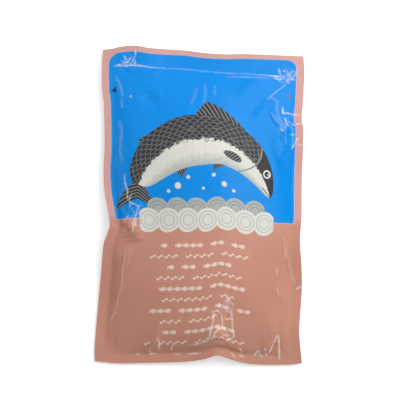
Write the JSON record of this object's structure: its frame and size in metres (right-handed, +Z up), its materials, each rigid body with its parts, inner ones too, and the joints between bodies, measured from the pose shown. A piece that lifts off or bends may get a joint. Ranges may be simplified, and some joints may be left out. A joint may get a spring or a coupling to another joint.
{
  "type": "wet cat food pouch",
  "caption": "Flat heat-sealed film pouch of wet cat food, swollen into a pillow by its fill and lying on its back with buckled seals.",
  "frame": {"origin": "on the table under the middle of the pouch's outline, as the pouch lies on its back", "axes": "+Y along the pouch's length towards the top seal, +X to the right of the printed face, +Z up out of the printed face"},
  "size_m": [0.0954, 0.147, 0.0146],
  "materials": {
    "printed_film": "glossy printed laminate film, dusty pink with a blue upper panel"
  },
  "bodies": {
    "root": {"pouch": "printed_film"}
  },
  "joints": []
}
